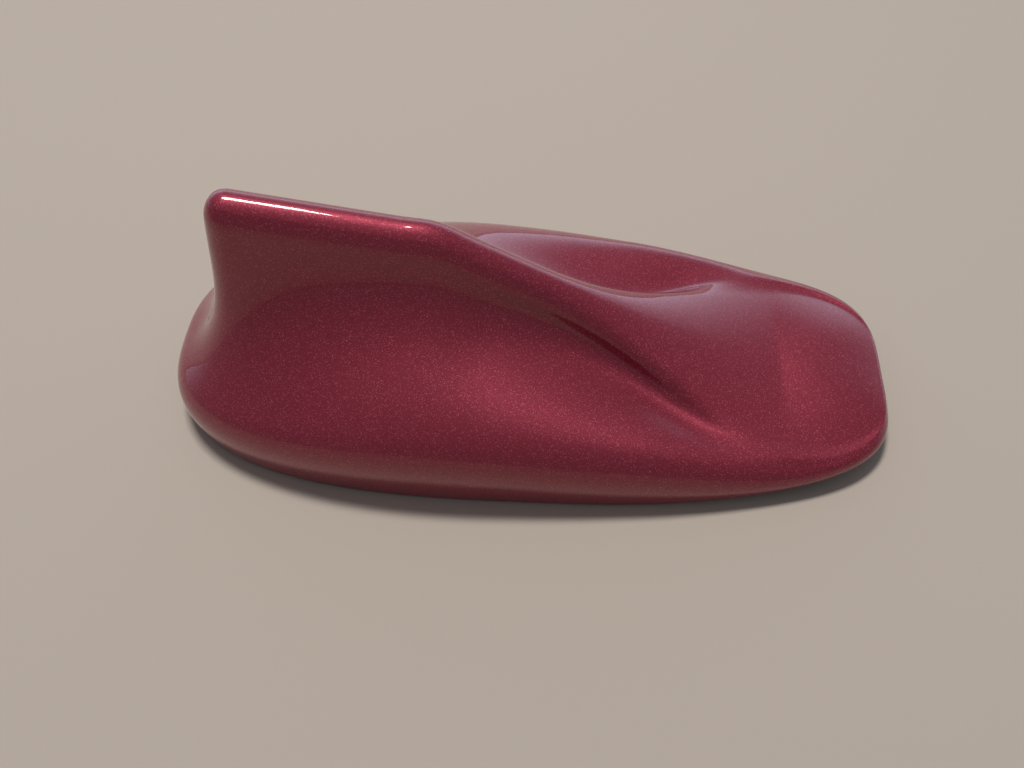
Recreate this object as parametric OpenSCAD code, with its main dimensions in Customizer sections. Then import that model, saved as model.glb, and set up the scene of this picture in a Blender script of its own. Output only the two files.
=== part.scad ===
// Shark-fin roof antenna with a satellite-positioning patch in the nose and a telephone
// blade in the fin. One painted cover, one die-cast base, everything else inside.
// Frame: +X to the nose, +Y to the left, +Z up. The origin is on the axis of the fixing
// bolt, on the roof's skin. A station is a distance from the tail end, and a height that
// is called "over the rim" counts from the plane of the cover's lower edge.

/* [Cover outline] */
// Length of the cover from tail to nose
shell_l = 165; // [158:1:175]
// Width of the cover over its widest section
shell_w = 70; // [68:1:76]
// Station of the widest section
widest_s = 80; // [74:1:86]
// Squareness of the tail in plan, as a superellipse power
tail_power = 2.7; // [2.4:0.1:3]
// Squareness of the nose in plan, along the car
nose_power_x = 2.5; // [2.2:0.1:2.8]
// Squareness of the nose in plan, across the car
nose_power_y = 3.8; // [3.3:0.1:4.2]
// Wall thickness of the cover
shell_wall = 2.2; // [1.8:0.1:2.4]
// Gap between the roof and the cover's lower edge
rim_h = 0.8; // [0.6:0.1:1.2]
// Rise of the lower edge at the nose
rim_lift = 3; // [2:0.25:3]
// Station where the lower edge starts to rise
rim_lift_s = 98; // [90:1:110]

/* [Fin] */
// Station of the fin's rear edge
fin_s = 16.5; // [13:0.5:18]
// Thickness of the fin at its upper corners
fin_t = 9.6; // [9.4:0.2:12]
// Length of the rounded rear end of the fin's top
fin_round = 5; // [4:0.5:7]
// Height of the fin's upper corners at the rear, over the rim
fin_rear_h = 54.5; // [52:1:60]
// Height of the fin's upper corners where the ridge starts to drop, over the rim
fin_break_h = 45.8; // [44:0.2:49]
// Station where the ridge starts to drop
fin_break_s = 64; // [62:1:68]
// Half length of the blend where the ridge starts to drop
ridge_blend = 8; // [5:1:12]
// Rise of the fin's crowned top over its corners
fin_crown = 3.5; // [3:0.1:5]
// Lean of the fin's side just under its corners, from the level
fin_lean = 80; // [74:1:84]

/* [Nose] */
// Height of the crease at the nose, over the rim
nose_h = 7.4; // [7:0.2:9]
// Slope at which the ridge starts to drop
drop_slope = 0.57; // [0.5:0.01:0.6]
// Slope at which the crease rises again at its front end
nose_slope = 0.12; // [0:0.02:0.14]
// Rise of the nose's crowned top over its crease
nose_crown = 3; // [2:0.25:4]
// Station where the ridge starts to widen into the nose
flare_start_s = 86; // [80:0.5:90]
// Station where the crease reaches the edge of the nose
flare_end_s = 159; // [150:1:162]
// Distance of the crease from the side of the nose
crease_side = 4.6; // [3:0.2:6]
// Distance of the crease from the front of the nose
crease_front = 1.1; // [1:0.1:2]
// Distance of the crown's front end from the front of the nose
crown_back = 24; // [20:1:30]

/* [Shoulders] */
// Height of the shoulder at the tail, over the lower edge
shoulder_tail_h = 13.3; // [12:0.1:15]
// Height of the shoulder beside the fin
shoulder_fin_h = 19.4; // [18:0.2:22]
// Height of the shoulder beside the drop
shoulder_drop_h = 14.5; // [14:0.5:17]
// Height of the shoulder where the nose levels out
shoulder_nose_h = 4.9; // [4.5:0.1:6]
// Height of the shoulder at the front end
shoulder_front_h = 3.3; // [3:0.1:4]
// Station of the shoulder beside the fin
shoulder_fin_s = 60; // [52:1:68]
// Station of the shoulder beside the drop
shoulder_drop_s = 105; // [100:1:112]
// Station of the shoulder where the nose levels out
shoulder_nose_s = 145; // [138:1:150]
// Inset of the shoulder from the lower edge at the tail
shoulder_tail_in = 2.3; // [2:0.1:3]
// Inset of the shoulder from the lower edge at the sides
shoulder_side_in = 2.6; // [2.2:0.1:4]
// Inset of the shoulder from the lower edge at the front
shoulder_front_in = 0.7; // [0.6:0.1:1.2]
// Slope of the skin at the shoulder
shoulder_slope = 38; // [34:1:42]
// Outward swell of the lower wall at the tail
tail_swell = 1.7; // [1:0.1:2]
// Outward swell of the lower wall at the nose
nose_swell = 1; // [0.5:0.1:1.4]

/* [Base plate] */
// Height of the plate's underside over the roof
plate_z = 1; // [1:0.1:1.2]
// Thickness of the plate
plate_t = 3; // [3:0.1:3.4]
// Gap between the plate and the inside of the cover
plate_fit = 0.4; // [0.3:0.1:0.6]
// Height of the upstand that locates the cover
upstand_h = 4; // [2.5:0.5:4]
// Thickness of the upstand
upstand_t = 1.6; // [1.4:0.1:2]
// Station where the upstand ends towards the nose
upstand_s = 130; // [124:1:134]
// Height of the stiffening ribs
rib_h = 2.5; // [1.5:0.5:3]
// Thickness of the stiffening ribs
rib_t = 1.5; // [1.2:0.1:2]
// Station of the rear rib
rib_rear_s = 40; // [36:1:44]
// Station of the middle rib
rib_mid_s = 63; // [60:1:65]
// Station of the front rib
rib_front_s = 108; // [106:1:110]

/* [Seals] */
// Distance of the roof gasket from the cover's lower edge
gasket_in = 5; // [5:0.5:6]
// Width of the roof gasket
gasket_w = 4; // [3:0.5:4]
// Depth of the gasket's groove in the plate
gasket_seat = 1.2; // [0.8:0.1:1.4]
// Side clearance of the gasket in its groove
gasket_fit = 0.2; // [0.1:0.05:0.3]
// Distance of the sealing bead from the inside of the cover's lower edge
bead_in = 0.8; // [0.8:0.05:0.9]
// Width of the sealing bead
bead_w = 1.6; // [1.2:0.1:1.7]
// Height of the sealing bead
bead_h = 0.9; // [0.6:0.1:0.9]

/* [Roof fixing] */
// Station of the fixing bolt
bolt_s = 78; // [76:0.5:79]
// Core diameter of the threaded insert, for an M6 bolt
insert_bore = 5; // [4.2:0.1:5.2]
// Outer diameter of the threaded insert
insert_d = 8.4; // [8:0.1:9]
// Length of the threaded insert
insert_l = 7; // [6:0.1:7]
// How far the insert stands out of the plate towards the roof
insert_foot = 0.4; // [0.2:0.1:0.6]
// Diameter of the boss round the insert
boss_d = 15; // [13:0.5:16]
// Clearance round the insert
insert_fit = 0.05; // [0.02:0.01:0.1]
// Outer diameter of the toothed earthing ring
ring_d = 17; // [15:0.5:19]
// Thickness of the toothed earthing ring
ring_t = 0.7; // [0.5:0.1:0.8]
// Number of teeth on the earthing ring
ring_teeth = 14; // [10:1:18]

/* [Cover screws] */
// Shank diameter of a cover screw
cscrew_d = 2.5; // [2.2:0.1:2.7]
// Head diameter of a cover screw
cscrew_head = 5; // [4.6:0.1:5.4]
// Length of a cover screw
cscrew_l = 7.6; // [7:0.2:8]
// Diameter of the posts inside the cover
post_d = 5.6; // [5.2:0.2:6]
// Clearance between a cover screw and its hole
cscrew_fit = 0.1; // [0.05:0.05:0.2]

/* [Circuit board] */
// Station of the board's rear edge
board_s = 24; // [23:0.5:26]
// Length of the board
board_l = 98; // [96:0.5:100]
// Width of the board
board_w = 34; // [33:0.5:35]
// Thickness of the board
board_t = 1.2; // [1:0.1:1.6]
// Height of the board's underside over the plate
board_up = 5; // [5:0.1:5.4]
// Corner radius of the board
board_r = 3; // [2:0.5:4]
// Distance of the board's screws from its ends
bscrew_in = 4; // [3.6:0.2:5]
// Distance of the board's screws from its sides
bscrew_side = 4; // [3.6:0.2:5]
// Shank diameter of a board screw
bscrew_d = 2; // [1.8:0.1:2.2]
// Head diameter of a board screw
bscrew_head = 4.4; // [4:0.1:4.8]
// Length of a board screw under its head
bscrew_l = 5; // [4:0.2:5.4]
// Diameter of the pillars under the board
pillar_d = 6; // [5:0.25:6.5]

/* [Positioning patch] */
// Station of the patch's middle
patch_s = 99; // [98:0.5:100]
// Side of the ceramic patch
patch_w = 20; // [18:0.5:20.5]
// Thickness of the ceramic patch
patch_t = 4; // [3:0.25:4.5]
// Side of the silver electrode on the patch
electrode_w = 16.5; // [14:0.5:17]
// Thickness of the silver electrode
electrode_t = 0.15; // [0.1:0.05:0.2]
// Thickness of the adhesive tape under the patch
tape_t = 0.5; // [0.3:0.1:0.8]
// Distance of the feed pin from the patch's middle
feed_off = 1.8; // [1.2:0.2:3]
// Diameter of the feed pin
feed_d = 1; // [0.8:0.1:1.2]

/* [Amplifier] */
// Station of the screening can's middle
can_s = 74; // [73:0.5:75]
// Length of the screening can
can_l = 20; // [18:0.5:21]
// Width of the screening can
can_w = 24; // [20:0.5:26]
// Height of the screening can
can_h = 4; // [3:0.25:5]
// Sheet thickness of the screening can
can_t = 0.3; // [0.2:0.05:0.4]

/* [Telephone blade] */
// Station of the blade's rear edge
blade_s = 25; // [24:0.5:26]
// Length of the blade
blade_l = 34; // [32:0.5:35]
// Thickness of the blade
blade_t = 1; // [0.8:0.1:1.2]
// Thickness of the copper on the blade
trace_t = 0.1; // [0.05:0.05:0.15]
// Width of a copper line on the blade
trace_w = 1.6; // [1.2:0.1:2]
// Number of rungs of the copper meander
trace_rungs = 6; // [5:1:7]
// Distance of the foam from the cover's inner top corners
foam_gap = 1; // [0.8:0.1:1.4]
// Gap between the foam's sides and the fin's walls
foam_side = 0.4; // [0.3:0.1:0.6]
// Height of foam over the blade's top edge
foam_over = 2.5; // [2:0.25:3]
// Depth of the blade in the foam
foam_grip = 4; // [3:0.5:6]
// Thickness of the bracket's rails and foot
bracket_t = 1.6; // [1.4:0.1:2]
// Height of the bracket's rails over its foot
bracket_h = 5; // [4:0.5:7]
// Width of the contact spring
contact_w = 2.4; // [2:0.2:3]
// Thickness of the contact spring
contact_t = 0.3; // [0.2:0.05:0.4]

/* [Coaxial jacks] */
// Station of the two jacks
jack_s = 95; // [94:0.5:96]
// Distance between the two jacks
jack_pitch = 13; // [12.5:0.25:14]
// Outer side of a jack's plastic shroud
shroud_w = 9.6; // [9:0.2:10]
// Wall thickness of a shroud
shroud_t = 1.1; // [0.9:0.1:1.3]
// Distance from the roof to a shroud's mouth
shroud_z = 1.2; // [1:0.1:1.6]
// Outer diameter of a jack's barrel
barrel_d = 3.7; // [3.4:0.1:4]
// Wall thickness of a jack's barrel
barrel_t = 0.4; // [0.3:0.05:0.5]
// Diameter of a jack's centre contact
contact_d = 0.9; // [0.7:0.05:1]
// Margin of the plate's window round the two shrouds
window_gap = 0.5; // [0.4:0.1:0.8]

/* [Vent] */
// Station of the vent
vent_s = 52; // [48:1:56]
// Distance of the vent from the middle
vent_y = 10; // [8:0.5:12]
// Diameter of the vent hole
vent_d = 3; // [2:0.25:4]
// Diameter of the vent membrane
membrane_d = 8; // [7:0.25:9]
// Thickness of the vent membrane
membrane_t = 0.3; // [0.2:0.05:0.4]

/* [Hidden] */

half_w = shell_w / 2;
plate_top = plate_z + plate_t;
board_z = plate_top + board_up;
board_top = board_z + board_t;
eps = 0.01;

// Steps round one half of the cover, and steps along its section
loop_steps = 40;
wall_steps = 7;
shelf_steps = 9;
corner_steps = 3;
crown_steps = 5;

// The cover's curves
function clamp01(t) = min(max(t, 0), 1);
function smooth(t) = let (k = clamp01(t)) k * k * (3 - 2 * k);
function mix(a, b, t) = a + (b - a) * t;
function unit(v) = v / max(norm(v), 1e-9);
function bezier2(a, b, c, t) = mix(mix(a, b, t), mix(b, c, t), t);
function bezier3(a, b, c, d, t) = mix(bezier2(a, b, c, t), bezier2(b, c, d, t), t);

// Smooth curve through knots [station, value], which never swings past a knot
function knot_rise(k, i) = (k[i + 1][1] - k[i][1]) / (k[i + 1][0] - k[i][0]);
function knot_slope(k, i) =
    let (a = knot_rise(k, max(i - 1, 0)), b = knot_rise(k, min(i, len(k) - 2)))
    a * b <= 0 ? 0 : 2 * a * b / (a + b);
function span_of(k, s, i = 0) = i >= len(k) - 2 || s < k[i + 1][0] ? i : span_of(k, s, i + 1);
function hermite(a, b, slope_a, slope_b, width, t) =
    a * (2 * t * t * t - 3 * t * t + 1) + width * slope_a * (t * t * t - 2 * t * t + t)
    + b * (3 * t * t - 2 * t * t * t) + width * slope_b * (t * t * t - t * t);
function through(k, s) =
    let (i = span_of(k, s), width = k[i + 1][0] - k[i][0])
    hermite(k[i][1], k[i + 1][1], knot_slope(k, i), knot_slope(k, i + 1), width,
        clamp01((s - k[i][0]) / width));

// Plan of the lower edge, drawn inwards by w: q runs from the tail (0) to the nose (1)
function edge_xy(w, q) =
    let (a = 180 * (1 - q), c = cos(a), s = max(sin(a), 0), tail = c < 0,
        power_x = tail ? tail_power : nose_power_x,
        power_y = tail ? tail_power : nose_power_y,
        reach = (tail ? widest_s : shell_l - widest_s) - w)
    [widest_s + sign(c) * reach * pow(abs(c), 2 / power_x), (half_w - w) * pow(s, 2 / power_y)];
function edge_z(s) = rim_h + rim_lift * smooth((s - rim_lift_s) / (shell_l - rim_lift_s));

// Height of the two creases that bound the fin's top and, further on, the nose's top
ridge_slope = (fin_break_h - fin_rear_h) / (fin_break_s - fin_s);
function ridge_line(s) = fin_rear_h + ridge_slope * (s - fin_s);
function drop_line(s) =
    let (width = shell_l - fin_break_s)
    hermite(fin_break_h, nose_h, -drop_slope, nose_slope, width, max((s - fin_break_s) / width, -0.2));
function crease_z(s) =
    rim_h + mix(ridge_line(s), drop_line(s),
        smooth((s - fin_break_s + ridge_blend) / (2 * ridge_blend)));
function flare(s) = smooth((s - flare_start_s) / (flare_end_s - flare_start_s));
function crown(s) = mix(fin_crown, nose_crown,
    smooth((s - fin_break_s) / (flare_end_s - fin_break_s)));

shoulder_knots = [[0, shoulder_tail_h], [shoulder_fin_s, shoulder_fin_h],
    [shoulder_drop_s, shoulder_drop_h], [shoulder_nose_s, shoulder_nose_h],
    [shell_l, shoulder_front_h]];
inset_knots = [[0, shoulder_tail_in], [shoulder_fin_s, shoulder_side_in],
    [shoulder_drop_s, shoulder_side_in], [shell_l, shoulder_front_in]];

// How far a skin that lies w inside the outer one drops at the shoulder and the crease
shoulder_drop_w = 0.75;
crease_drop_w = 0.6;
// Where the section changes from the fin's S shape to the nose's plain round one
round_start_s = 100;
round_end_s = 145;
round_bow = 0.3;
corner_fin = 2.5;
corner_nose = 3;

// The control points of one section: edge, wall, shoulder, shelf, corner, crown
function section(w, q) =
    let (e = edge_xy(w, q), s = e[0], ez = edge_z(s),
        tail = s < widest_s,
        cs = tail
            ? mix(fin_s + w, widest_s, clamp01((s - w) / (widest_s - w)))
            : mix(widest_s, shell_l - crease_front - w,
                (s - widest_s) / (shell_l - w - widest_s)),
        back = 1 - clamp01((cs - fin_s - w) / fin_round),
        fin_y = (fin_t / 2 - w) * sqrt(max(1 - back * back, 0)),
        cy = mix(fin_y, e[1] * (1 - crease_side / half_w), flare(cs)),
        cz = crease_z(cs) - crease_drop_w * w,
        edge = [s, e[1], ez],
        crease = [cs, cy, cz],
        inward = unit([cs - s, cy - e[1], 0]),
        up = [0, 0, 1],
        sh_h = through(shoulder_knots, s) - shoulder_drop_w * w,
        shoulder = edge + inward * through(inset_knots, s) + up * sh_h,
        chord = unit(crease - shoulder),
        bow = [0, 0, 1] * (chord * inward) - inward * chord[2],
        plain = smooth((s - round_start_s) / (round_end_s - round_start_s)),
        dir_shoulder = unit(mix(inward * cos(shoulder_slope) + up * sin(shoulder_slope),
            chord + bow * round_bow, plain)),
        dir_crease = unit(mix(inward * cos(fin_lean) + up * sin(fin_lean),
            chord - bow * round_bow, plain)),
        swell = mix(tail_swell, nose_swell, smooth(s / shell_l)),
        corner = min(mix(corner_fin, corner_nose, flare(cs)), 0.4 * norm(crease - shoulder)),
        under = crease - dir_crease * corner,
        shelf_len = 0.4 * norm(under - shoulder),
        spine_s = min(max(cs, fin_s + w + (fin_t / 2 - w)), shell_l - crease_front - crown_back),
        spine = [spine_s, 0, crease_z(spine_s) + crown(spine_s) - w],
        rise = spine - crease,
        over = crease + unit([rise[0], rise[1], rise[2] * 1.8]) * min(corner, 0.6 * norm(rise)),
        top = [mix(over[0], spine[0], 0.5), mix(over[1], spine[1], 0.5),
            mix(over[2], spine[2], 0.95)])
    [edge, edge - inward * swell + up * sh_h * 0.45, shoulder - dir_shoulder * sh_h * 0.35,
        shoulder, shoulder + dir_shoulder * shelf_len, under - dir_crease * shelf_len, under,
        crease, over, top, spine];

// Points along one section, from the lower edge to the spine
function section_points(w, q, fine) =
    let (c = section(w, q), nw = wall_steps - (fine ? 0 : 3), ns = shelf_steps - (fine ? 0 : 3),
        nc = corner_steps, nt = crown_steps - (fine ? 0 : 2))
    concat([for (i = [0 : nw - 1]) bezier3(c[0], c[1], c[2], c[3], i / nw)],
        [for (i = [0 : ns - 1]) bezier3(c[3], c[4], c[5], c[6], i / ns)],
        [for (i = [0 : nc - 1]) bezier2(c[6], c[7], c[8], i / nc)],
        [for (i = [0 : nt]) bezier2(c[8], c[9], c[10], i / nt)]);

// A whole skin is a grid of sections: the left half, then the right half mirrored
function skin_grid(w, fine) =
    let (left = [for (i = [0 : loop_steps]) section_points(w, i / loop_steps, fine)])
    concat(left, [for (i = [loop_steps - 1 : -1 : 1])
        [for (p = left[i]) [p[0], -p[1], p[2]]]]);
function flat(lists) = [for (l = lists) each l];

// Corner indices of a grid, with the columns that meet on the spine shared by both halves
function first_same(keys, i) = i > 0 && abs(keys[i - 1] - keys[i]) < 1e-6
    ? first_same(keys, i - 1) : i;
function grid_ids(grid) =
    let (rows = len(grid), cols = len(grid[0]),
        keys = [for (i = [0 : loop_steps]) grid[i][cols - 1][0]])
    [for (i = [0 : rows - 1]) [for (j = [0 : cols - 1])
        j < cols - 1 ? i * cols + j
            : first_same(keys, i <= loop_steps ? i : rows - i) * cols + j]];
function triangle(a, b, c) = a == b || b == c || a == c ? [] : [[a, b, c]];
function skin_faces(ids, shift, inside) =
    let (rows = len(ids), cols = len(ids[0]))
    [for (i = [0 : rows - 1]) for (j = [0 : cols - 2])
        let (k = (i + 1) % rows,
            a = ids[i][j] + shift, b = ids[k][j] + shift,
            c = ids[k][j + 1] + shift, d = ids[i][j + 1] + shift)
        each inside ? concat(triangle(a, c, b), triangle(a, d, c))
            : concat(triangle(a, b, c), triangle(a, c, d))];

// The moulded shell: outer skin, inner skin, and the flat lip that joins them
module shell() {
    outer = skin_grid(0, true);
    inner = skin_grid(shell_wall, false);
    outer_ids = grid_ids(outer);
    inner_ids = grid_ids(inner);
    shift = len(outer) * len(outer[0]);
    rows = len(outer);
    lip = [for (i = [0 : rows - 1])
        let (k = (i + 1) % rows,
            a = outer_ids[i][0], b = outer_ids[k][0],
            c = inner_ids[k][0] + shift, d = inner_ids[i][0] + shift)
        each [[b, a, d], [b, d, c]]];
    polyhedron(concat(flat(outer), flat(inner)),
        concat(skin_faces(outer_ids, 0, false), skin_faces(inner_ids, shift, true), lip));
}

// Flat outline of the lower edge, drawn inwards by w
function edge_outline(w) =
    let (left = [for (i = [0 : loop_steps]) edge_xy(w, i / loop_steps)])
    concat(left, [for (i = [loop_steps - 1 : -1 : 1]) [left[i][0], -left[i][1]]]);
module slab(w, z, h) translate([0, 0, z]) linear_extrude(h) polygon(edge_outline(w));
module band(w_out, w_in, z, h) translate([0, 0, z]) linear_extrude(h) difference() {
    polygon(edge_outline(w_out));
    polygon(edge_outline(w_in));
}
module both_sides() { children(); mirror([0, 1, 0]) children(); }
module in_frame() translate([-bolt_s, 0, 0]) children();
module tube(d, z, h) translate([0, 0, z]) cylinder(d = d, h = h, $fn = 48);
module block(l, w, z, h) translate([-l / 2, -w / 2, z]) cube([l, w, h]);

// Cover screws stand under chosen points of the skin: [q, crown or shelf, t]
screw_marks = [[0.2, false, 0.3], [0.5, false, 0.3], [0.73, true, 0.4]];
function mark_point(w, mark) =
    let (c = section(w, mark[0]))
    mark[1] ? bezier2(c[8], c[9], c[10], mark[2]) : bezier3(c[3], c[4], c[5], c[6], mark[2]);
screw_points = [for (m = screw_marks) mark_point(shell_wall / 2, m)];
module at_screws() both_sides() for (p = screw_points) translate([p[0], p[1], 0]) children();

cscrew_z = plate_z + 0.2;
cscrew_cone = (cscrew_head - cscrew_d) / 2;
cscrew_tip = cscrew_z + cscrew_l;
pilot_spare = 0.5;
post_neck_h = 2.6;
post_neck_d = 2.4;

// A post from the plate up to the middle of the skin, with the screw's pilot hole
module post(top) difference() {
    union() {
        tube(post_d, plate_top, top - post_neck_h - plate_top);
        translate([0, 0, top - post_neck_h])
            cylinder(d1 = post_d, d2 = post_neck_d, h = post_neck_h, $fn = 48);
    }
    tube(cscrew_d + 2 * cscrew_fit, plate_top - 1, cscrew_tip + pilot_spare - plate_top + 1);
}

module housing() color("#5c1426") in_frame() {
    shell();
    both_sides() for (p = screw_points) translate([p[0], p[1], 0]) post(p[2]);
}

// Seats that the plate's parts share
plate_in = shell_wall + plate_fit;
bead_edge = shell_wall + bead_in;
upstand_in = bead_edge + bead_w + 0.2;
boss_roof = 0.6;
insert_z = plate_z - insert_foot;
boss_top = insert_z + insert_l + boss_roof;
window_l = shroud_w + 2 * window_gap;
window_w = jack_pitch + shroud_w + 2 * window_gap;
membrane_seat = 0.5;
board_screw_x = [board_s + bscrew_in, board_s + board_l - bscrew_in];
board_screw_y = board_w / 2 - bscrew_side;
module at_board_screws() both_sides() for (s = board_screw_x)
    translate([s, board_screw_y, 0]) children();

module cover_screw_hole() {
    tube(cscrew_d + 2 * cscrew_fit, plate_z - 1, plate_t + 2);
    tube(cscrew_head + 2 * cscrew_fit, plate_z - 1, cscrew_z - plate_z + 1);
    translate([0, 0, cscrew_z]) cylinder(d1 = cscrew_head + 2 * cscrew_fit,
        d2 = cscrew_d + 2 * cscrew_fit, h = cscrew_cone, $fn = 48);
}

module base_plate() color("#26272a") in_frame() difference() {
    union() {
        slab(plate_in, plate_z, plate_t);
        intersection() {
            band(upstand_in, upstand_in + upstand_t, plate_top - eps, upstand_h + eps);
            translate([0, -half_w, 0]) cube([upstand_s, shell_w, plate_top + upstand_h + 1]);
        }
        for (s = [rib_rear_s, rib_mid_s, rib_front_s]) intersection() {
            translate([s, 0, 0]) block(rib_t, shell_w, plate_top - eps, rib_h + eps);
            slab(upstand_in + upstand_t / 2, plate_top - eps, rib_h + eps);
        }
        translate([bolt_s, 0, 0]) tube(boss_d, plate_top - eps, boss_top - plate_top + eps);
        at_board_screws() tube(pillar_d, plate_top - eps, board_up + eps);
    }
    band(gasket_in - gasket_fit, gasket_in + gasket_w + gasket_fit, plate_z - 1, gasket_seat + 1);
    at_screws() cover_screw_hole();
    translate([bolt_s, 0, 0]) tube(insert_d + 2 * insert_fit, insert_z - 1, insert_l + 1);
    at_board_screws() tube(bscrew_d + 0.1, board_z - bscrew_l - 0.5, bscrew_l + 1.5);
    translate([jack_s, 0, 0]) block(window_l, window_w, plate_z - 1, plate_t + 2);
    translate([vent_s, vent_y, 0]) {
        tube(vent_d, plate_z - 1, plate_t + 2);
        tube(membrane_d + 0.2, plate_z - 1, membrane_seat + 1);
    }
}

module roof_gasket() color("#1b1b1c") in_frame()
    band(gasket_in, gasket_in + gasket_w, 0, plate_z + gasket_seat);

module cover_seal() color("#3a3a3c") in_frame()
    band(bead_edge, bead_edge + bead_w, plate_top, bead_h);

module threaded_insert() color("#b08d4c") difference() {
    tube(insert_d, insert_z, insert_l);
    tube(insert_bore, insert_z - 1, insert_l + 2);
}

ring_tooth = 1.6;
tooth_root = 0.7 * ring_tooth;
tooth_tip = 0.25 * ring_tooth;
tooth_sink = 0.5;
module ground_ring() color("#b9bcc0") translate([0, 0, plate_z - ring_t]) linear_extrude(ring_t)
    difference() {
        union() {
            circle(d = ring_d - 2 * ring_tooth, $fn = 64);
            for (i = [0 : ring_teeth - 1]) rotate(360 / ring_teeth * i)
                polygon([[ring_d / 2 - ring_tooth - tooth_sink, -tooth_root],
                    [ring_d / 2, -tooth_tip], [ring_d / 2, tooth_tip],
                    [ring_d / 2 - ring_tooth - tooth_sink, tooth_root]]);
        }
        circle(d = insert_d + 2 * insert_fit, $fn = 64);
    }

// A cross recess for a screwdriver, cut h deep from z upwards
module cross_recess(z, h, l) for (a = [0, 90]) rotate(a) block(l, l / 4, z, h);

module cover_screws() color("#8c8f94") in_frame() at_screws() difference() {
    union() {
        translate([0, 0, cscrew_z])
            cylinder(d1 = cscrew_head, d2 = cscrew_d, h = cscrew_cone, $fn = 48);
        tube(cscrew_d, cscrew_z + cscrew_cone / 2, cscrew_l - cscrew_cone / 2);
    }
    cross_recess(cscrew_z - 1, 1.8, cscrew_head * 0.6);
}

// A rectangle with round corners, centred
module rounded(l, w, r) {
    square([l - 2 * r, w], center = true);
    square([l, w - 2 * r], center = true);
    for (x = [-1, 1], y = [-1, 1]) translate([x * (l / 2 - r), y * (w / 2 - r)])
        circle(r, $fn = 48);
}

feed_s = patch_s + feed_off;
pin_hole = 0.1;
module circuit_board() color("#1f5a35") in_frame() difference() {
    translate([board_s + board_l / 2, 0, board_z]) linear_extrude(board_t)
        rounded(board_l, board_w, board_r);
    at_board_screws() tube(bscrew_d + 0.5, board_z - 1, board_t + 2);
    translate([feed_s, 0, 0]) tube(feed_d + pin_hole, board_z - 1, board_t + 2);
    both_sides() translate([jack_s, jack_pitch / 2, 0])
        tube(contact_d + pin_hole, board_z - 1, board_t + 2);
}

bscrew_head_h = 1.7;
module board_screws() color("#9a9da2") in_frame() at_board_screws() difference() {
    union() {
        tube(bscrew_head, board_top, bscrew_head_h);
        tube(bscrew_d, board_top - bscrew_l, bscrew_l + 0.5);
    }
    cross_recess(board_top + bscrew_head_h - 1, 1.5, bscrew_head * 0.6);
}

patch_z = board_top + tape_t;
module patch_square(side, z, h) translate([patch_s, 0, 0]) difference() {
    block(side, side, z, h);
    translate([feed_off, 0, 0]) tube(feed_d + pin_hole, z - 1, h + 2);
}
module gps_patch() color("#c9c2ae") in_frame() patch_square(patch_w, patch_z, patch_t);
module patch_tape() color("#e8e4d6") in_frame() patch_square(patch_w, board_top, tape_t);

electrode_cut = 2.2;
module patch_electrode() color("#d0d2d4") in_frame()
    translate([patch_s, 0, patch_z + patch_t]) linear_extrude(electrode_t) difference() {
        let (a = electrode_w / 2, b = a - electrode_cut)
            polygon([[-a, -a], [b, -a], [a, -b], [a, a], [-b, a], [-a, b]]);
        translate([feed_off, 0]) circle(d = feed_d + pin_hole, $fn = 48);
    }
module patch_feed_pin() color("#c8b26a") in_frame() translate([feed_s, 0, 0]) {
    tube(feed_d, board_z - 0.8, patch_z + patch_t + electrode_t - board_z + 0.8 + eps);
    tube(feed_d + 1.6, patch_z + patch_t + electrode_t, 0.4);
}

module shield_can() color("#c4c7ca") in_frame() translate([can_s, 0, 0]) difference() {
    block(can_l, can_w, board_top, can_h);
    block(can_l - 2 * can_t, can_w - 2 * can_t, board_top - 1, can_h - can_t + 1);
}
chip_sizes = [[-5, -6, 4, 4, 0.9], [2, -5, 3, 3, 1.1], [-4, 4, 3, 2.5, 1], [4, 5, 5, 5, 1.2]];
module amplifier_chips() color("#161618") in_frame() translate([can_s, 0, 0])
    for (c = chip_sizes) translate([c[0], c[1], 0]) block(c[2], c[3], board_top, c[4]);

// Height of the foam's top over the roof, which follows the ridge inside the fin
function foam_top(s) = crease_z(s) - crease_drop_w * shell_wall - foam_gap;
function blade_top(s) = foam_top(s) - foam_over;
function foam_low(s) = blade_top(s) - foam_grip;
blade_z = board_top + bracket_t;
blade_end = blade_s + blade_l;
blade_nose_cut = 4;
foam_in = 2;
foam_from = blade_s + foam_in;
foam_to = blade_end - blade_nose_cut - foam_in;
blade_outline = [[blade_s, blade_z], [blade_end, blade_z],
    [blade_end, blade_top(blade_end) - blade_nose_cut],
    [blade_end - blade_nose_cut, blade_top(blade_end - blade_nose_cut)],
    [blade_s, blade_top(blade_s)]];
// Stands a drawing of [station, height] upright, from y to y + t
module upright(y, t) translate([0, y + t, 0]) rotate([90, 0, 0]) linear_extrude(t) children();

module phone_blade() color("#2a6b44") in_frame()
    upright(-blade_t / 2, blade_t) polygon(blade_outline);

trace_margin = 3;
trace_foot = 0.5;
trace_low = blade_z + bracket_h + 3;
trace_high = foam_low(foam_to) - 1;
trace_step = (trace_high - trace_low - trace_w) / (trace_rungs - 1);
module phone_blade_trace() color("#c98a4b") in_frame() upright(blade_t / 2, trace_t) {
    left = blade_s + trace_margin;
    right = blade_end - trace_margin - blade_nose_cut;
    translate([left, blade_z + trace_foot])
        square([trace_w, trace_low - blade_z - trace_foot + trace_w]);
    for (i = [0 : trace_rungs - 1]) {
        translate([left, trace_low + i * trace_step]) square([right - left, trace_w]);
        if (i < trace_rungs - 1)
            translate([i % 2 == 0 ? right - trace_w : left, trace_low + i * trace_step])
                square([trace_w, trace_step + trace_w]);
    }
}

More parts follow.
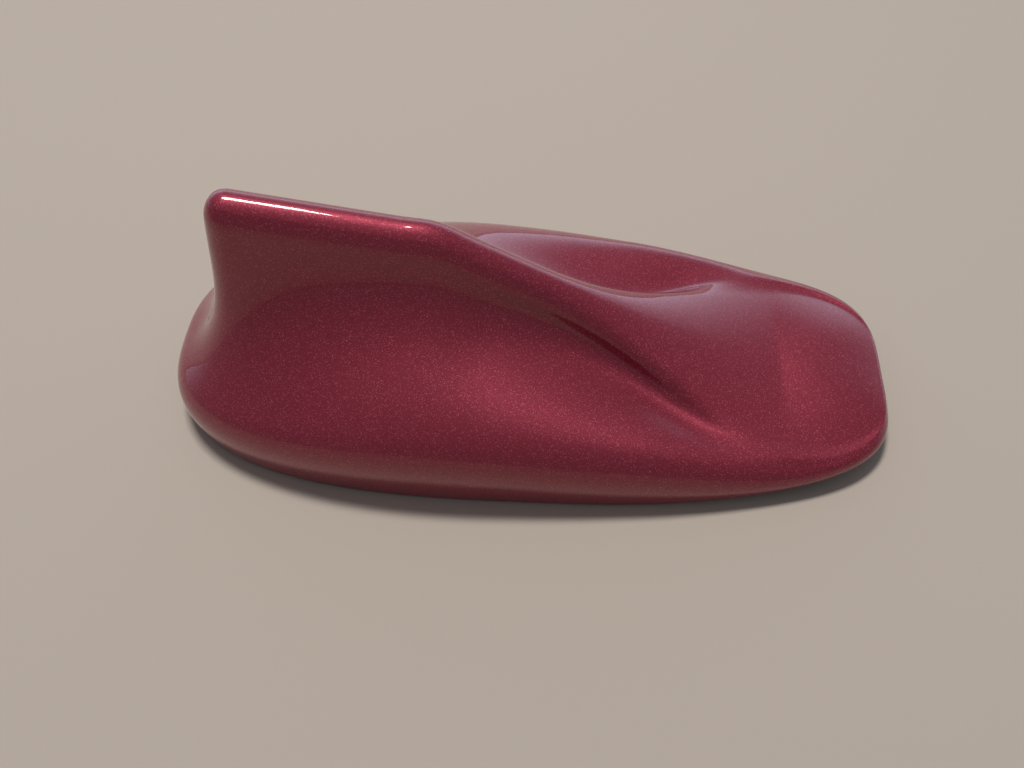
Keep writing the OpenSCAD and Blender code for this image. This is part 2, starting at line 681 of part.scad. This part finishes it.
bracket_in = 6;
bracket_w = 10;
module blade_bracket() color("#d9d6cc") in_frame() {
    from = blade_s + bracket_in;
    len = blade_l - bracket_in;
    translate([from, -bracket_w / 2, board_top]) cube([len, bracket_w, bracket_t]);
    both_sides() translate([from, blade_t / 2 + trace_t, blade_z - eps])
        cube([len, bracket_t, bracket_h + eps]);
}

contact_reach = 4;
module blade_contact() color("#c2a35a") in_frame() {
    s = blade_s + trace_margin + trace_w / 2 - contact_w / 2;
    y = blade_t / 2 + trace_t;
    translate([s, y, board_top]) cube([contact_w, contact_reach, contact_t]);
    translate([s, y, board_top]) cube([contact_w, contact_t, contact_reach]);
}

foam_half = fin_t / 2 - shell_wall - foam_side;
module blade_foam() color("#3c3c40") in_frame()
    difference() {
        upright(-foam_half, 2 * foam_half) polygon([
            [foam_from, foam_top(foam_from)], [foam_to, foam_top(foam_to)],
            [foam_to, foam_low(foam_to)], [foam_from, foam_low(foam_from)]]);
        upright(-blade_t / 2, blade_t) polygon(blade_outline);
    }

jack_fit = 0.03;
shell_low = shroud_z + 1;
shell_high = board_z - shroud_t;
barrel_bore = barrel_d - 2 * barrel_t;
pin_low = shell_low + 0.8;
pin_high = board_top - 0.2;
key_w = 0.8;
key_t = 0.5;
key_pitch = 3;
module at_jack(side) in_frame() translate([jack_s, side * jack_pitch / 2, 0]) children();
module jack_shroud(side, keys) color(side > 0 ? "#2c4f9a" : "#8a2b52") at_jack(side) {
    hollow = shroud_w - 2 * shroud_t;
    difference() {
        block(shroud_w, shroud_w, shroud_z, board_z - shroud_z);
        block(hollow, hollow, shroud_z - 1, shell_high - shroud_z + 1);
        tube(contact_d + pin_hole, shell_high - 1, shroud_t + 2);
    }
    for (k = [1 : keys])
        translate([-hollow / 2 - eps, (k - (keys + 1) / 2) * key_pitch - key_w / 2, shroud_z])
            cube([key_t + eps, key_w, shell_high - shroud_z]);
}
module jack_shell(side) color("#c9a95c") at_jack(side) difference() {
    tube(barrel_d, shell_low, shell_high - shell_low);
    tube(barrel_bore, shell_low - 1, shell_high - shell_low + 2);
}
module jack_insulator(side) color("#ece9e0") at_jack(side) difference() {
    tube(barrel_bore - 2 * jack_fit, mix(shell_low, shell_high, 0.4),
        (shell_high - shell_low) * 0.6);
    tube(contact_d + 2 * jack_fit, shell_low - 1, shell_high - shell_low + 2);
}
module jack_pin(side) color("#d8b65a") at_jack(side)
    tube(contact_d, pin_low, pin_high - pin_low);

module gps_jack_shroud() jack_shroud(1, 2);
module gps_jack_shell() jack_shell(1);
module gps_jack_insulator() jack_insulator(1);
module gps_jack_pin() jack_pin(1);
module phone_jack_shroud() jack_shroud(-1, 1);
module phone_jack_shell() jack_shell(-1);
module phone_jack_insulator() jack_insulator(-1);
module phone_jack_pin() jack_pin(-1);

module vent_membrane() color("#f0f0ee") in_frame()
    translate([vent_s, vent_y, 0])
        tube(membrane_d, plate_z + membrane_seat - membrane_t, membrane_t);

housing();
base_plate();
roof_gasket();
cover_seal();
threaded_insert();
ground_ring();
cover_screws();
circuit_board();
board_screws();
gps_patch();
patch_electrode();
patch_tape();
patch_feed_pin();
shield_can();
amplifier_chips();
phone_blade();
phone_blade_trace();
blade_bracket();
blade_contact();
blade_foam();
gps_jack_shroud();
gps_jack_shell();
gps_jack_insulator();
gps_jack_pin();
phone_jack_shroud();
phone_jack_shell();
phone_jack_insulator();
phone_jack_pin();
vent_membrane();
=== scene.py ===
"""Looks of a shark-fin roof antenna: its painted cover, over the pieces of the frame.

Lengths in the cover's section are millimetres and are turned into metres where meshes are made. A station
is a distance from the tail end. The frame's origin is on the fixing bolt's axis, at the roof's skin.
"""
import math

import bmesh
import bpy
import numpy as np
from mathutils import Matrix, Vector


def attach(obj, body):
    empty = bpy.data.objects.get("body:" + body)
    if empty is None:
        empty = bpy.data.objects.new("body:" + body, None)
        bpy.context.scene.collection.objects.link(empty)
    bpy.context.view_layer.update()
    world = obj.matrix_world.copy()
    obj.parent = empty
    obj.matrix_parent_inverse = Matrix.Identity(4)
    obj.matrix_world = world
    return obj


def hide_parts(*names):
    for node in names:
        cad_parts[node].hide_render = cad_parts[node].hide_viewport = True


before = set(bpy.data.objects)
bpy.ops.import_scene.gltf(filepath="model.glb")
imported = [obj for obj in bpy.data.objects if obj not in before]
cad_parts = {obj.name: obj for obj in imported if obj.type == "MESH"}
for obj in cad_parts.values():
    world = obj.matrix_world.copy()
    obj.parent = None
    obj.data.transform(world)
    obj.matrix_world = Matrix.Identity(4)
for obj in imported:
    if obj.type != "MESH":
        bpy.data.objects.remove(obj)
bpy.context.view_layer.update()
MM = 0.001

# Camera, fitted to the photograph's outline
IMAGE_W = 1024
FOCAL_PX = 1000.0
SENSOR_MM = 36.0
CAMERA_DISTANCE = 0.2459
CAMERA_ELEVATION = 53.69
CAMERA_YAW = 5.27
CAMERA_ROLL = -2.12
CAMERA_TARGET = Vector((-0.06 * MM, 0, -2.76 * MM))


def make_camera():
    e, a, r = (math.radians(v) for v in (CAMERA_ELEVATION, CAMERA_YAW, CAMERA_ROLL))
    back = Vector((math.sin(a) * math.cos(e), -math.cos(a) * math.cos(e), math.sin(e)))
    level = Vector((0, 0, 1)).cross(back).normalized()
    upright = back.cross(level)
    right = level * math.cos(r) + upright * math.sin(r)
    up = upright * math.cos(r) - level * math.sin(r)
    data = bpy.data.cameras.new("camera")
    data.sensor_width = SENSOR_MM
    data.lens = SENSOR_MM * FOCAL_PX / IMAGE_W
    data.clip_start = 0.01
    camera = bpy.data.objects.new("camera", data)
    place = CAMERA_TARGET + back * CAMERA_DISTANCE
    camera.matrix_world = Matrix((right, up, back)).transposed().to_4x4()
    camera.location = place
    bpy.context.scene.collection.objects.link(camera)
    bpy.context.scene.camera = camera


make_camera()

# The cover's driving dimensions, in millimetres
BOLT_S = 78.0
SHELL_L, SHELL_W, WIDEST_S = 165.0, 70.0, 80.0
TAIL_POWER, NOSE_POWER_X, NOSE_POWER_Y = 2.7, 2.5, 3.8
RIM_H, RIM_LIFT, RIM_LIFT_S = 0.8, 3.0, 98.0
FIN_S, FIN_T, FIN_ROUND = 16.5, 9.6, 5.0
FIN_REAR_H, FIN_BREAK_H, FIN_BREAK_S, RIDGE_BLEND = 54.5, 45.8, 64.0, 8.0
FIN_CROWN, FIN_LEAN = 3.5, 80.0
NOSE_H, DROP_SLOPE, NOSE_SLOPE, NOSE_CROWN = 7.4, 0.57, 0.12, 3.0
FLARE_START_S, FLARE_END_S = 86.0, 159.0
CREASE_SIDE, CREASE_FRONT, CROWN_BACK = 4.6, 1.1, 24.0
SHOULDER_KNOTS = [(0, 13.3), (60, 19.4), (105, 14.5), (145, 4.9), (SHELL_L, 3.3)]
INSET_KNOTS = [(0, 2.3), (60, 2.6), (105, 2.6), (SHELL_L, 0.7)]
SHOULDER_SLOPE = 38.0
TAIL_SWELL, NOSE_SWELL = 1.7, 1.0
SHOULDER_DROP_W, CREASE_DROP_W = 0.75, 0.6
ROUND_START_S, ROUND_END_S, ROUND_BOW = 100.0, 145.0, 0.3
CORNER_FIN, CORNER_NOSE = 2.5, 3.0

# Fineness of the skin's mesh, and how far its sections close up at the tail and at the nose
HALF_STEPS = 150
SECTION_STEPS = (18, 30, 12, 16)
END_CLOSENESS = 0.75
WELD_DISTANCE = 1e-6


def smooth(t):
    k = min(max(t, 0.0), 1.0)
    return k * k * (3 - 2 * k)


def mix(a, b, t):
    return a + (b - a) * t


def unit(v):
    return v / max(np.linalg.norm(v), 1e-9)


def bezier2(a, b, c, t):
    return mix(mix(a, b, t), mix(b, c, t), t)


def bezier3(a, b, c, d, t):
    return mix(bezier2(a, b, c, t), bezier2(b, c, d, t), t)


def hermite(a, b, slope_a, slope_b, width, t):
    t2, t3 = t * t, t * t * t
    return (a * (2 * t3 - 3 * t2 + 1) + width * slope_a * (t3 - 2 * t2 + t)
            + b * (3 * t2 - 2 * t3) + width * slope_b * (t3 - t2))


def through(knots, s):
    """Smooth curve through (station, value) knots that never swings past a knot."""
    rises = [(b[1] - a[1]) / (b[0] - a[0]) for a, b in zip(knots, knots[1:])]
    slopes = [rises[0]]
    for a, b in zip(rises, rises[1:]):
        slopes.append(0.0 if a * b <= 0 else 2 * a * b / (a + b))
    slopes.append(rises[-1])
    i = 0
    while i < len(knots) - 2 and s >= knots[i + 1][0]:
        i += 1
    width = knots[i + 1][0] - knots[i][0]
    t = min(max((s - knots[i][0]) / width, 0.0), 1.0)
    return hermite(knots[i][1], knots[i + 1][1], slopes[i], slopes[i + 1], width, t)


def edge_xy(w, q):
    """Plan of the lower edge, drawn inwards by w: q runs from the tail (0) to the nose (1)."""
    a = math.pi * (1 - q)
    c, s = math.cos(a), max(math.sin(a), 0.0)
    tail = c < 0
    power_x = TAIL_POWER if tail else NOSE_POWER_X
    power_y = TAIL_POWER if tail else NOSE_POWER_Y
    reach = (WIDEST_S if tail else SHELL_L - WIDEST_S) - w
    x = WIDEST_S + math.copysign(1, c) * reach * abs(c) ** (2 / power_x)
    return x, (SHELL_W / 2 - w) * s ** (2 / power_y)


def edge_z(s):
    return RIM_H + RIM_LIFT * smooth((s - RIM_LIFT_S) / (SHELL_L - RIM_LIFT_S))


def crease_z(s):
    """Height of the two creases that bound the fin's top and, further on, the nose's top."""
    ridge = FIN_REAR_H + (FIN_BREAK_H - FIN_REAR_H) / (FIN_BREAK_S - FIN_S) * (s - FIN_S)
    width = SHELL_L - FIN_BREAK_S
    t = max((s - FIN_BREAK_S) / width, -0.2)
    drop = hermite(FIN_BREAK_H, NOSE_H, -DROP_SLOPE, NOSE_SLOPE, width, t)
    return RIM_H + mix(ridge, drop, smooth((s - FIN_BREAK_S + RIDGE_BLEND) / (2 * RIDGE_BLEND)))


def flare(s):
    return smooth((s - FLARE_START_S) / (FLARE_END_S - FLARE_START_S))


def crown(s):
    return mix(FIN_CROWN, NOSE_CROWN, smooth((s - FIN_BREAK_S) / (FLARE_END_S - FIN_BREAK_S)))


def section(w, q):
    """Control points of one section: edge, wall, shoulder, shelf, corner, crown."""
    up = np.array((0.0, 0.0, 1.0))
    s, y = edge_xy(w, q)
    if s < WIDEST_S:
        cs = mix(FIN_S + w, WIDEST_S, min(max((s - w) / (WIDEST_S - w), 0.0), 1.0))
    else:
        cs = mix(WIDEST_S, SHELL_L - CREASE_FRONT - w, (s - WIDEST_S) / (SHELL_L - w - WIDEST_S))
    back = 1 - min(max((cs - FIN_S - w) / FIN_ROUND, 0.0), 1.0)
    fin_y = (FIN_T / 2 - w) * math.sqrt(max(1 - back * back, 0.0))
    cy = mix(fin_y, y * (1 - CREASE_SIDE / (SHELL_W / 2)), flare(cs))
    edge = np.array((s, y, edge_z(s)))
    crease = np.array((cs, cy, crease_z(cs) - CREASE_DROP_W * w))
    inward = unit(np.array((cs - s, cy - y, 0.0)))
    height = through(SHOULDER_KNOTS, s) - SHOULDER_DROP_W * w
    shoulder = edge + inward * through(INSET_KNOTS, s) + up * height
    chord = unit(crease - shoulder)
    bow = up * float(chord @ inward) - inward * chord[2]
    plain = smooth((s - ROUND_START_S) / (ROUND_END_S - ROUND_START_S))
    a, b = math.radians(SHOULDER_SLOPE), math.radians(FIN_LEAN)
    at_shoulder = unit(mix(inward * math.cos(a) + up * math.sin(a), chord + bow * ROUND_BOW, plain))
    at_crease = unit(mix(inward * math.cos(b) + up * math.sin(b), chord - bow * ROUND_BOW, plain))
    swell = mix(TAIL_SWELL, NOSE_SWELL, smooth(s / SHELL_L))
    corner = min(mix(CORNER_FIN, CORNER_NOSE, flare(cs)), 0.4 * np.linalg.norm(crease - shoulder))
    under = crease - at_crease * corner
    shelf = 0.4 * np.linalg.norm(under - shoulder)
    spine_s = min(max(cs, FIN_S + w + FIN_T / 2 - w), SHELL_L - CREASE_FRONT - CROWN_BACK)
    spine = np.array((spine_s, 0.0, crease_z(spine_s) + crown(spine_s) - w))
    rise = spine - crease
    over = crease + unit(rise * np.array((1, 1, 1.8))) * min(corner, 0.6 * np.linalg.norm(rise))
    top = np.array((mix(over[0], spine[0], 0.5), mix(over[1], spine[1], 0.5), mix(over[2], spine[2], 0.95)))
    return [edge, edge - inward * swell + up * height * 0.45, shoulder - at_shoulder * height * 0.35,
            shoulder, shoulder + at_shoulder * shelf, under - at_crease * shelf, under, crease, over, top, spine]


def section_points(w, q):
    c = section(w, q)
    steps = SECTION_STEPS
    points = [bezier3(*c[0:4], i / steps[0]) for i in range(steps[0])]
    points += [bezier3(*c[3:7], i / steps[1]) for i in range(steps[1])]
    points += [bezier2(*c[6:9], i / steps[2]) for i in range(steps[2])]
    points += [bezier2(*c[8:11], i / steps[3]) for i in range(steps[3] + 1)]
    return points


def loop_place(i):
    """Places round one half, closer together at the tail and at the nose."""
    t = i / HALF_STEPS
    return mix(t, (1 - math.cos(math.pi * t)) / 2, END_CLOSENESS)


def skin(w):
    """Grid of points in metres, in the frame: one row per section, right round the cover."""
    left = [section_points(w, loop_place(i)) for i in range(HALF_STEPS + 1)]
    right = [[p * np.array((1, -1, 1)) for p in row] for row in reversed(left[1:-1])]
    grid = np.array(left + right)
    grid[:, :, 0] -= BOLT_S
    return grid * MM


def new_object(name, points, faces, material):
    mesh = bpy.data.meshes.new(name)
    mesh.from_pydata([tuple(p) for p in points], [], faces)
    mesh.validate()
    mesh.polygons.foreach_set("use_smooth", [True] * len(mesh.polygons))
    obj = bpy.data.objects.new(name, mesh)
    bpy.context.scene.collection.objects.link(obj)
    mesh.materials.append(material)
    return obj


def grid_faces(rows, cols):
    """Quads of a grid whose last row joins its first."""
    faces = []
    for i in range(rows):
        k = (i + 1) % rows
        for j in range(cols - 1):
            faces.append([i * cols + j, k * cols + j, k * cols + j + 1, i * cols + j + 1])
    return faces


def weld(obj, distance):
    bm = bmesh.new()
    bm.from_mesh(obj.data)
    bmesh.ops.remove_doubles(bm, verts=bm.verts, dist=distance)
    bmesh.ops.dissolve_degenerate(bm, dist=distance, edges=bm.edges)
    bmesh.ops.recalc_face_normals(bm, faces=bm.faces)
    bm.to_mesh(obj.data)
    bm.free()


def node_material(name):
    m = bpy.data.materials.new(name)
    m.use_nodes = True
    nodes, links = m.node_tree.nodes, m.node_tree.links
    return m, nodes, links, nodes["Principled BSDF"]


def add(nodes, kind, **values):
    """Adds a node; values name its sockets, or its properties where no socket has that name."""
    n = nodes.new("ShaderNode" + kind)
    for key, value in values.items():
        label = key.replace("_", " ")
        match = [i for i in n.inputs if i.name.lower() == label.lower()]
        if match:
            match[0].default_value = value
        else:
            setattr(n, key, value)
    return n


PAINT_DEEP = (0.20, 0.006, 0.022, 1)
PAINT_LIGHT = (0.30, 0.012, 0.040, 1)
# The brighter pink below, and the ramp place where it starts, give a few random flakes a painted highlight that
# stands in for flakes catching the light
PAINTED_GLINT_COLOUR = (0.55, 0.10, 0.16, 1)
PAINTED_GLINT_FROM = 0.985
FLAKE_SCALE, FLAKE_TILT, FLAKE_DEPTH = 7000.0, 0.35, 0.00006
PEEL_SCALE, PEEL_STRENGTH, PEEL_DEPTH = 420.0, 0.05, 0.0001


def paint():
    """Metallic paint: fine flakes that tilt and catch the lamps, under a clear coat with a faint orange peel; a
    few flakes get a brighter pink base colour, a painted highlight for sparkle.
    """
    m, nodes, links, b = node_material("wine_red_paint")
    b.inputs["Metallic"].default_value = 0.5
    b.inputs["Roughness"].default_value = 0.45
    b.inputs["Coat Weight"].default_value = 1.0
    b.inputs["Coat Roughness"].default_value = 0.025
    b.inputs["Coat IOR"].default_value = 1.45
    place = add(nodes, "TexCoord")
    flakes = add(nodes, "TexVoronoi", scale=FLAKE_SCALE)
    links.new(place.outputs["Object"], flakes.inputs["Vector"])
    cell = add(nodes, "SeparateColor")
    links.new(flakes.outputs["Color"], cell.inputs["Color"])
    ramp = add(nodes, "ValToRGB")
    ramp.color_ramp.elements[0].position = 0.0
    ramp.color_ramp.elements[0].color = PAINT_DEEP
    ramp.color_ramp.elements[1].position = 0.9
    ramp.color_ramp.elements[1].color = PAINT_LIGHT
    # Flakes at the ramp's top end get the brighter pink: a painted highlight for sparkle; the flakes' tilt
    # further down gives the lamps' own sparkle
    painted_glint = ramp.color_ramp.elements.new(PAINTED_GLINT_FROM)
    painted_glint.color = PAINTED_GLINT_COLOUR
    links.new(cell.outputs["Red"], ramp.inputs["Fac"])
    links.new(ramp.outputs["Color"], b.inputs["Base Color"])
    peel = add(nodes, "TexNoise", scale=PEEL_SCALE, detail=2.0)
    links.new(place.outputs["Object"], peel.inputs["Vector"])
    coat = add(nodes, "Bump", strength=PEEL_STRENGTH, distance=PEEL_DEPTH)
    links.new(peel.outputs["Fac"], coat.inputs["Height"])
    links.new(coat.outputs["Normal"], b.inputs["Coat Normal"])
    tilt = add(nodes, "Bump", strength=FLAKE_TILT, distance=FLAKE_DEPTH)
    links.new(cell.outputs["Green"], tilt.inputs["Height"])
    links.new(tilt.outputs["Normal"], b.inputs["Normal"])
    return m


def make_cover():
    outer = skin(0.0)
    rows, cols = outer.shape[:2]
    cover = new_object("painted_cover", outer.reshape(-1, 3).tolist(), grid_faces(rows, cols), paint())
    weld(cover, WELD_DISTANCE)
    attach(cover, "root")
    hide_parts("housing")


make_cover()


def plain(name, colour, roughness=0.8):
    m = bpy.data.materials.new(name)
    m.use_nodes = True
    b = m.node_tree.nodes["Principled BSDF"]
    b.inputs["Base Color"].default_value = (*colour, 1)
    b.inputs["Roughness"].default_value = roughness
    return m


FLOOR_HALF = 3.0
FLOOR_COLOUR = (0.52, 0.45, 0.38)
PANEL_PLACE, PANEL_SIZE, PANEL_POWER = (-0.12, 0.28, 1.25), (0.32, 0.2), 11
PANEL_COLOUR = (1.0, 0.98, 0.96)
LIGHT_BEHIND = (1.25, 1.35, 1.65, 1)
LIGHT_ELSEWHERE = (0.20, 0.20, 0.22, 1)


def make_stage():
    size = FLOOR_HALF
    floor = new_object("floor", [(-size, -size, 0), (size, -size, 0), (size, size, 0), (-size, size, 0)],
                       [(0, 1, 2, 3)], plain("floor_pale", FLOOR_COLOUR))


def area_light(name, place, target, size, power, colour):
    data = bpy.data.lights.new(name, "AREA")
    data.shape = "RECTANGLE"
    data.size, data.size_y = size
    data.energy = power
    data.color = colour
    obj = bpy.data.objects.new(name, data)
    obj.location = place
    obj.rotation_euler = (Vector(target) - Vector(place)).to_track_quat("-Z", "Y").to_euler()
    bpy.context.scene.collection.objects.link(obj)


def make_world():
    """Bright cool light from behind, low down, and dim light from elsewhere."""
    world = bpy.data.worlds.new("soft_studio")
    bpy.context.scene.world = world
    world.use_nodes = True
    nodes, links = world.node_tree.nodes, world.node_tree.links
    back = nodes["Background"]
    place = add(nodes, "TexCoord")
    split = add(nodes, "SeparateXYZ")
    links.new(place.outputs["Generated"], split.inputs["Vector"])
    low = add(nodes, "MapRange", interpolation_type="SMOOTHSTEP")
    for socket, value in (("From Min", 0.55), ("From Max", 0.0), ("To Min", 0.0), ("To Max", 1.0)):
        low.inputs[socket].default_value = value
    links.new(split.outputs["Z"], low.inputs["Value"])
    behind = add(nodes, "MapRange", interpolation_type="SMOOTHSTEP")
    for socket, value in (("From Min", -0.1), ("From Max", 0.7), ("To Min", 0.0), ("To Max", 1.0)):
        behind.inputs[socket].default_value = value
    links.new(split.outputs["Y"], behind.inputs["Value"])
    both = add(nodes, "Math", operation="MULTIPLY")
    links.new(low.outputs["Result"], both.inputs[0])
    links.new(behind.outputs["Result"], both.inputs[1])
    blend = add(nodes, "Mix", data_type="RGBA")
    colours = [i for i in blend.inputs if i.type == "RGBA"]
    colours[0].default_value = LIGHT_ELSEWHERE
    colours[1].default_value = LIGHT_BEHIND
    links.new(both.outputs["Value"], blend.inputs["Factor"])
    result = [o for o in blend.outputs if o.type == "RGBA"][0]
    links.new(result, back.inputs["Color"])


make_stage()
make_world()
area_light("overhead_panel", PANEL_PLACE, (0, 0, 0), PANEL_SIZE, PANEL_POWER, PANEL_COLOUR)

bpy.context.scene.view_settings.view_transform = "Standard"
